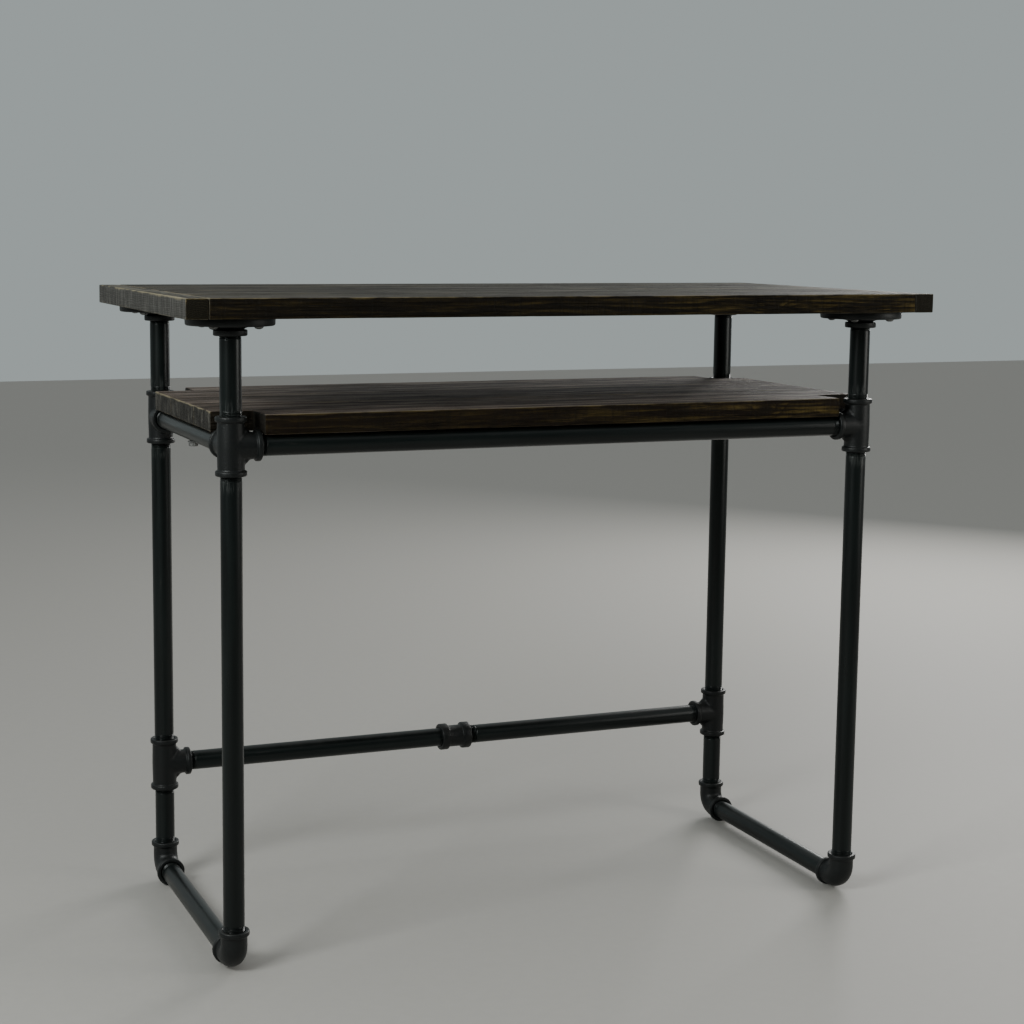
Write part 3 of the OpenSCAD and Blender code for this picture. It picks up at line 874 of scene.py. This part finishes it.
def plank(name, node, notches, material, seed):
    """A plank cut from its box, with notches, eased edges and a slightly uneven surface."""
    low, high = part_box(node)
    outline = []
    for sx, sy in ((-1, -1), (1, -1), (1, 1), (-1, 1)):
        x, y = (low.x, high.x)[sx > 0], (low.y, high.y)[sy > 0]
        cut = notches.get(sy)
        if cut:
            corner = [(sx * cut[0], y), (sx * cut[0], sy * cut[1]), (x, sy * cut[1])]
            outline += corner if sx * sy < 0 else corner[::-1]
        else:
            outline.append((x, y))
    mesh = bmesh.new()
    floor_face = mesh.faces.new([mesh.verts.new((x, y, low.z)) for x, y in outline])
    raised = bmesh.ops.extrude_face_region(mesh, geom=[floor_face])["geom"]
    lifted = [v for v in raised if isinstance(v, bmesh.types.BMVert)]
    bmesh.ops.translate(mesh, verts=lifted, vec=(0, 0, high.z - low.z))
    bmesh.ops.recalc_face_normals(mesh, faces=mesh.faces)
    bmesh.ops.bevel(
        mesh, geom=list(mesh.edges), offset=EASED, segments=3, profile=0.5, affect="EDGES",
    )
    for axis, step in enumerate(MESH_STEP):
        count = round((high[axis] - low[axis]) / step)
        normal = [0, 0, 0]
        normal[axis] = 1
        for i in range(1, count):
            point = [0, 0, 0]
            point[axis] = low[axis] + (high[axis] - low[axis]) * i / count
            parts = list(mesh.verts) + list(mesh.edges) + list(mesh.faces)
            bmesh.ops.bisect_plane(mesh, geom=parts, plane_co=point, plane_no=normal, dist=1e-6)
    mesh.normal_update()
    shifts = []
    for vert in mesh.verts:
        p = vert.co
        wave = noise.noise(Vector((p.x * 9, p.y * 26 + seed, p.z * 26)))
        chip = noise.noise(Vector((p.x * 70, p.y * 110 + seed, p.z * 110)))
        gaps = sorted(min(p[i] - low[i], high[i] - p[i]) for i in range(3))
        corner = max(0.0, 1 - gaps[1] / 0.004)
        depth = 0.0002 * (1 + wave) + corner * (0.0003 + 0.0004 * max(0.0, chip) ** 1.2)
        shifts.append((vert, vert.normal * -depth))
    for vert, shift in shifts:
        vert.co += shift
    piece = finished(mesh, name, material, sharp=50)
    stand_in(piece, node)


def lay_planks(part, stained, ridged, planks):
    """Makes one layer's planks, each with its own pith, seed, tone, notches and knot."""
    for number, (pith, seed, tone, notches, knot) in planks.items():
        node = f"{part}_board_{number}"
        low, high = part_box(node)
        stain = [value * tone for value in stained]
        ridge = [value * tone for value in ridged]
        wood = stained_plank(f"stained_{part}_{number}", low, high, pith, seed, stain, ridge, knot)
        plank(node + "_plank", node, notches, wood, seed)


lay_planks("top", (0.024, 0.021, 0.015), (0.150, 0.138, 0.112), {
    1: ((0, 0.030, -0.075), 1.7, 1.00, {}, ((0.262, -0.2540, 0.8235), 0.0085)),
    2: ((0, -0.052, -0.062), 5.2, 1.16, {}, NO_KNOT),
    3: ((0, 0.048, -0.090), 9.4, 0.86, {}, ((-0.215, 0.052, 0.838), 0.011)),
    4: ((0, -0.020, -0.055), 13.1, 1.08, {}, ((0.140, 0.188, 0.838), 0.008)),
})
NOTCH = (0.400, 0.150)
# The shelf's stain and ridge colours are two to three times paler than the top's same wood:
# painted light, standing in for the light from behind on the right that reaches the shelf.
lay_planks("shelf", (0.046, 0.034, 0.027), (0.430, 0.345, 0.285), {
    1: ((0, 0.040, -0.080), 21.3, 1.00, {-1: NOTCH}, ((0.285, -0.204, 0.684), 0.0080)),
    2: ((0, -0.038, -0.066), 25.9, 0.90, {}, ((-0.120, -0.020, 0.697), 0.0095)),
    3: ((0, 0.015, -0.085), 31.4, 1.18, {1: NOTCH}, NO_KNOT),
})


# ------------------------------------------------------------------ end strips
# A narrow strip of the same wood is glued across each end of the top. Its grain runs
# from front to back, and years of hands and chairs have worn it paler than the planks.


STRIP_STAIN, STRIP_RIDGE = (0.034, 0.031, 0.025), (0.15, 0.142, 0.12)
STRIP_WORN, STRIP_RUBBED = (0.27, 0.25, 0.19), (0.32, 0.28, 0.18)
STRIP_SAWN_DARK, STRIP_SAWN_PALE = (0.028, 0.027, 0.025), (0.105, 0.103, 0.094)
END_GRAIN_DARK, END_GRAIN_PALE = (0.007, 0.006, 0.003), (0.020, 0.017, 0.009)


def strip_wood(name, low, high, seed):
    """The strip's finish: grain along Y, end grain at the front and back, pale rubbed edges."""
    tree, place, normal = new_finish(name)
    turned = add(
        tree, "ShaderNodeMapping", {"Vector": place, "Rotation": (0, 0, math.pi / 2)}
    ).outputs[0]
    grain = use_group(tree, RING_GRAIN, {
        "Vector": turned, "Pith": (0.0, (low.x + high.x) / 2 + 0.009, 0.790),
        "Ring Width": 0.0026, "Seed": seed, "Knot Place": NO_KNOT[0], "Knot Size": NO_KNOT[1],
    })
    saw = use_group(tree, SAW_MARKS, {"Vector": place, "Normal": normal})
    edge = use_group(
        tree, EDGE_RUB, {"Vector": place, "Low": tuple(low), "High": tuple(high), "Width": 0.0045}
    )["Mask"]
    brushed = calc(tree, "MULTIPLY", fade(tree, grain["Fibre"], 0.38, 0.68), grain["Ring"])
    colour = tint(tree, brushed, STRIP_STAIN, STRIP_RIDGE)
    worn = fade(tree, cloudy(tree, place, (170.0, 6.0, 60.0), 4.0), 0.40, 0.66)
    worn = calc(tree, "MULTIPLY", worn, calc(tree, "MULTIPLY", saw["Face"], 0.5))
    colour = tint(tree, worn, colour, STRIP_WORN)
    marks = calc(tree, "MULTIPLY_ADD", saw["Mask"], 0.65, 0.2)
    marks = calc(tree, "MULTIPLY_ADD", brushed, 0.25, marks)
    sawn_side = tint(tree, marks, STRIP_SAWN_DARK, STRIP_SAWN_PALE)
    colour = tint(tree, saw["End"], colour, sawn_side)
    end_grain = tint(tree, grain["Ring"], END_GRAIN_DARK, END_GRAIN_PALE)
    colour = tint(tree, saw["Side"], colour, end_grain)
    flat_side = fade(tree, saw["Side"], 0.7, 1.0)
    rubbed = tint(tree, flat_side, STRIP_RUBBED, RUBBED_GOLD)
    colour = tint(tree, calc(tree, "MULTIPLY", edge, 0.75), colour, rubbed)
    roughness = calc(tree, "MULTIPLY_ADD", brushed, -0.14, 0.66)
    height = calc(tree, "MULTIPLY_ADD", grain["Ring"], 0.6, grain["Fibre"])
    height = calc(tree, "MULTIPLY_ADD", saw["Mask"], -0.5, height)
    return finish_of(name, colour, roughness, height, 0.0008, 0.0, WOOD_GLOSS)


for word, seed in (("left", 41.0), ("right", 47.5)):
    node = f"top_end_strip_{word}"
    low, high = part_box(node)
    wood = strip_wood(f"stained_strip_{word}", low, high, seed)
    plank(node + "_wood", node, {}, wood, seed)


# ------------------------------------------------------------------ dowels
# Plain birch dowels line up the joints inside the top and the shelf. They are glued in
# blind holes, so they only show when the desk is taken apart.


def birch(name):
    """Pale birch with fine fibres and small flecks."""
    tree, place, _ = new_finish(name)
    fibre = cloudy(tree, place, (240.0, 240.0, 240.0), 4.0, 0.6)
    fleck = fade(tree, cloudy(tree, place, 900.0, 2.0), 0.6, 0.72)
    colour = tint(tree, fibre, (0.50, 0.36, 0.20), (0.66, 0.52, 0.33))
    colour = tint(tree, calc(tree, "MULTIPLY", fleck, 0.4), colour, (0.30, 0.19, 0.09))
    roughness = calc(tree, "MULTIPLY_ADD", fibre, 0.2, 0.5)
    return finish_of(name, colour, roughness, fibre, 0.0002, 0.0)


BIRCH = birch("birch_dowel_wood")
for node in ("top_dowels", "shelf_dowels"):
    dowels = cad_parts[node]
    dowels.data.materials.clear()
    dowels.data.materials.append(BIRCH)


# ------------------------------------------------------------------ shelf lag screws
# One zinc hex lag screw with a washer passes up through the middle of each side rail
# and bites into the shelf's middle plank.


RAIL_UNDER, HALF_FLAT, HALF_CORNER = 644.63, 5.55, 6.4


def lag_screw(mesh, x):
    """Washer, chamfered hex head and shank, with heights in millimetres from the floor."""
    under = RAIL_UNDER
    at = Matrix.Translation((x * 1000, 0, 0))
    washer = [(3.4, 0.0), (7.2, 0.0), (7.5, -0.3), (7.5, -1.2), (7.2, -1.5), (3.4, -1.5)]
    lathe(mesh, [(r, under + z) for r, z in washer], at, 48)
    rows = [(0.0, 0.97), (-0.4, 1.0), (-3.9, 1.0), (-5.0, 0.86)]
    rings = []
    for z, reach in rows:
        ring = []
        for i in range(48):
            a = 2 * math.pi * i / 48
            flat = HALF_FLAT / math.cos((a + math.pi / 6) % (math.pi / 3) - math.pi / 6)
            radius = min(flat, HALF_CORNER * reach) * 0.001
            height = (under - 1.5 + z) * 0.001
            ring.append(Vector((x + radius * math.cos(a), radius * math.sin(a), height)))
        rings.append(ring)
    skin(mesh, rings, loop=False)
    shank = [(3.1, under - 1.6), (3.1, 686.0), (1.2, 689.0)]
    lathe(mesh, shank, at, 24, loop=False)


lags = bmesh.new()
for side in (-1, 1):
    lag_screw(lags, side * LEG_X)
stand_in(
    finished(lags, "shelf_lag_screws_hex", SCREW_STEEL, 28), "shelf_lag_screws"
)


# ------------------------------------------------------------------ studio
# A plain pale floor under a pale ceiling, a soft key light on the left, a low one behind
# on the right, a weak fill on the right, and the camera.

tree, place, _ = new_finish("pale_floor")
speckle = cloudy(tree, place, 60.0, 5.0)
colour = tint(tree, speckle, (0.375, 0.366, 0.342), (0.412, 0.403, 0.380))
roughness = calc(tree, "MULTIPLY_ADD", speckle, 0.1, 0.6)
pale_floor = finish_of("pale_floor", colour, roughness, speckle, 0.0002, 0.0)
slab = bmesh.new()
bmesh.ops.create_grid(slab, x_segments=1, y_segments=1, size=9.0)
floor = finished(slab, "floor", pale_floor)

DIM_FRONT, PALE_BACK, CEILING = (0.032, 0.035, 0.035), (0.34, 0.38, 0.38), (0.60, 0.61, 0.60)
world = bpy.data.worlds.new("studio")
world.use_nodes = True
sky = world.node_tree
ray = add(sky, "ShaderNodeTexCoord").outputs["Generated"]
_, depth, height = add(sky, "ShaderNodeSeparateXYZ", {0: ray}).outputs
room = tint(sky, fade(sky, depth, -0.4, 0.6), DIM_FRONT, PALE_BACK)
room = tint(sky, fade(sky, height, 0.35, 0.95), room, CEILING)
sky.links.new(room, sky.nodes["Background"].inputs["Color"])
bpy.context.scene.world = world


def soft_light(name, place, aim, size, power, tone):
    """A square soft light at a place, turned to an aim."""
    data = bpy.data.lights.new(name, "AREA")
    data.size = size
    data.energy = power
    data.color = tone
    lamp = bpy.data.objects.new(name, data)
    lamp.location = place
    lamp.rotation_mode = "QUATERNION"
    lamp.rotation_quaternion = (Vector(aim) - Vector(place)).to_track_quat("-Z", "Y")
    bpy.context.scene.collection.objects.link(lamp)


soft_light("key_left", (-2.1, -1.1, 1.7), (-0.1, 0, 0.75), 0.9, 46, (0.97, 1.0, 0.98))
soft_light("rim_right", (2.6, 2.1, 1.5), (0, 0, 0.7), 1.3, 54, (1.0, 0.985, 0.96))
soft_light("fill_right", (1.7, -1.2, 0.95), (0.5, -0.2, 0.78), 0.8, 10, (1.0, 0.98, 0.93))

lens = bpy.data.cameras.new("camera")
lens.lens = 68.01
lens.sensor_width = 36.0
lens.shift_x = 0.0605
lens.shift_y = -0.0313
camera = bpy.data.objects.new("camera", lens)
camera.location = (-1.0302, -2.4298, 0.9225)
yaw, dip, roll = 0.3719, -0.1307, 0.0084
ahead = Vector((math.sin(yaw) * math.cos(dip), math.cos(yaw) * math.cos(dip), math.sin(dip)))
camera.rotation_mode = "QUATERNION"
camera.rotation_quaternion = ahead.to_track_quat("-Z", "Y") @ Quaternion((0, 0, 1), roll)
bpy.context.scene.collection.objects.link(camera)
bpy.context.scene.camera = camera
